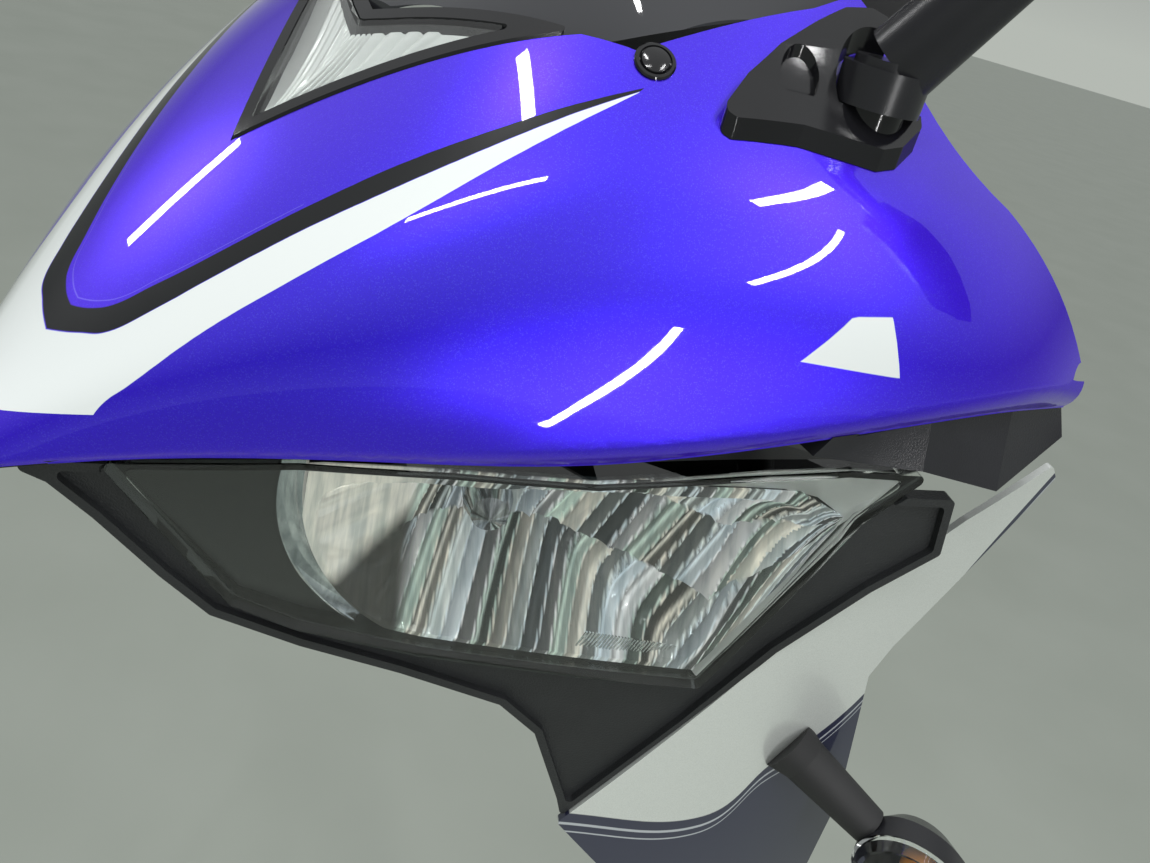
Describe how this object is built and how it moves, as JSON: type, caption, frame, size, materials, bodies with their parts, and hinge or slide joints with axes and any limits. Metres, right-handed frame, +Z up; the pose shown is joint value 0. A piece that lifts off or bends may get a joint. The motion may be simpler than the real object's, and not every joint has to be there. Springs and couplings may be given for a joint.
{
  "type": "sport bike front fairing",
  "caption": "Front fairing of a sport bike: pointed nose cowl with slanted headlamps, small screen, folding mirrors, side cowls and turn signals, on a tubular stay",
  "frame": {"origin": "middle of the two headstock bolt holes, on the rear face of the stay's plate", "axes": "+X to the rider's left, +Y rearwards along the bike, +Z up"},
  "size_m": [0.7666, 0.3988, 0.4723],
  "materials": {
    "blue_paint": "gloss",
    "smoked_screen": "smoked",
    "matte_black": "textured",
    "satin_black": "satin",
    "mask_black": "matte",
    "meter_black": "matte",
    "clear_lens": "clear",
    "signal_lens": "clear",
    "lamp_mirror": "polished",
    "bulb_shield": "polished",
    "silver_white": "gloss",
    "stay_steel": "satin",
    "mirror_glass": "polished",
    "soft_rubber": "matte",
    "amber_bulb": "gloss"
  },
  "bodies": {
    "fairing": {"fairing_stay": "stay_steel", "headlamp_bulb_left": "bulb_shield", "headlamp_bulb_right": "bulb_shield", "headlamp_housing_left": "matte_black", "headlamp_housing_right": "matte_black", "headlamp_lens_left": "clear_lens", "headlamp_lens_right": "clear_lens", "headlamp_mask_left": "mask_black", "headlamp_mask_right": "mask_black", "headlamp_reflector_left": "lamp_mirror", "headlamp_reflector_right": "lamp_mirror", "instrument": "meter_black", "lower_trim_left": "matte_black", "lower_trim_right": "matte_black", "mirror_base_left": "matte_black", "mirror_base_right": "matte_black", "nose_cowl": "blue_paint", "position_lamp_body": "matte_black", "position_lamp_lens": "clear_lens", "position_lamp_reflector": "lamp_mirror", "side_cowl_left": "silver_white", "side_cowl_right": "silver_white", "signal_bulb_left": "amber_bulb", "signal_bulb_right": "amber_bulb", "signal_housing_left": "satin_black", "signal_housing_right": "satin_black", "signal_lens_left": "signal_lens", "signal_lens_right": "signal_lens", "signal_stalk_left": "soft_rubber", "signal_stalk_right": "soft_rubber", "windscreen": "smoked_screen", "winglet_left": "satin_black", "winglet_right": "satin_black"},
    "mirror_arm_left": {"mirror_arm_left": "satin_black"},
    "mirror_head_left": {"mirror_head_left": "satin_black", "mirror_glass_left": "mirror_glass"},
    "mirror_arm_right": {"mirror_arm_right": "satin_black"},
    "mirror_head_right": {"mirror_head_right": "satin_black", "mirror_glass_right": "mirror_glass"}
  },
  "joints": [
    {"name": "mirror_fold_left", "type": "hinge", "parent": "fairing", "child": "mirror_arm_left", "pos_m": [0.128, -0.164, 0.175], "axis": [0, 0, 1], "range_deg": [-10, 75]},
    {"name": "mirror_tilt_left", "type": "hinge", "parent": "mirror_arm_left", "child": "mirror_head_left", "pos_m": [0.25, -0.148, 0.263], "axis": [1, 0, 0], "range_deg": [-10, 10]},
    {"name": "mirror_fold_right", "type": "hinge", "parent": "fairing", "child": "mirror_arm_right", "pos_m": [-0.128, -0.164, 0.175], "axis": [0, 0, -1], "range_deg": [-10, 75]},
    {"name": "mirror_tilt_right", "type": "hinge", "parent": "mirror_arm_right", "child": "mirror_head_right", "pos_m": [-0.25, -0.148, 0.263], "axis": [1, 0, 0], "range_deg": [-10, 10]}
  ]
}
